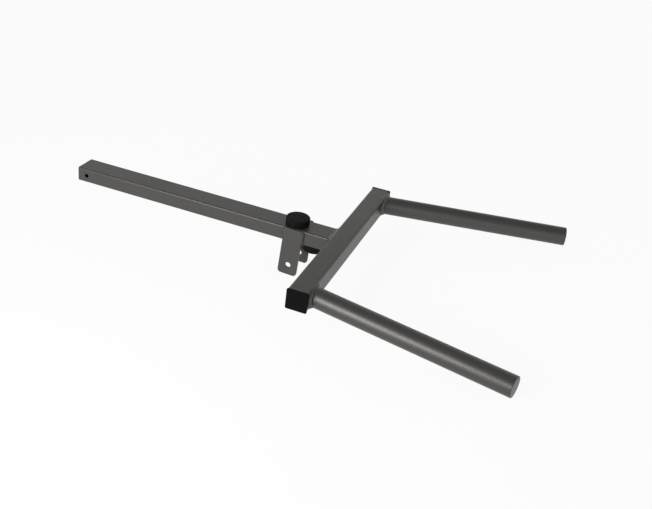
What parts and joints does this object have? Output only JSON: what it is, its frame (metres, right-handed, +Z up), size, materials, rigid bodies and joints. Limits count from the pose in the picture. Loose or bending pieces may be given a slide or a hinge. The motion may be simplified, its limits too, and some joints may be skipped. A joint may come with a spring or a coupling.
{
  "type": "lever arm with hand bars",
  "caption": "Lever arm for a strength training bench: drilled pivot ears, rubber stops, and a crossbar with splayed round hand bars, in graphite powder coat.",
  "frame": {"origin": "middle of the whole object's box in X and Y, at its lowest level, the foot of the pivot ears", "axes": "+X along the lever arm from its tail towards the hand bars, +Y to the left, +Z up"},
  "size_m": [0.9864, 0.613, 0.1161],
  "materials": {
    "powder_coat": "semi-matte graphite grey metallic powder coat with a fine texture",
    "coated_weld": "weld bead under the same graphite powder coat",
    "plug_plastic": "fine moulded black plastic",
    "stop_rubber": "matt black moulded rubber",
    "zinc_steel": "bright zinc plating"
  },
  "bodies": {
    "root": {"main_arm": "powder_coat", "tail_plate": "powder_coat", "crossbar": "powder_coat", "crossbar_plug_right": "plug_plastic", "crossbar_plug_left": "plug_plastic", "grip_tube_right": "powder_coat", "grip_tube_left": "powder_coat", "grip_disc_right": "powder_coat", "grip_disc_left": "powder_coat", "pivot_ear_right": "powder_coat", "pivot_ear_left": "powder_coat", "rubber_stop_top": "stop_rubber", "rubber_stop_bottom": "stop_rubber", "stop_stud_top": "zinc_steel", "stop_stud_bottom": "zinc_steel", "rivet_nut_top": "zinc_steel", "rivet_nut_bottom": "zinc_steel", "weld_arm_to_crossbar": "coated_weld", "weld_grip_right": "coated_weld", "weld_grip_left": "coated_weld", "weld_ear_right_front": "coated_weld", "weld_ear_right_rear": "coated_weld", "weld_ear_left_front": "coated_weld", "weld_ear_left_rear": "coated_weld"}
  },
  "joints": []
}
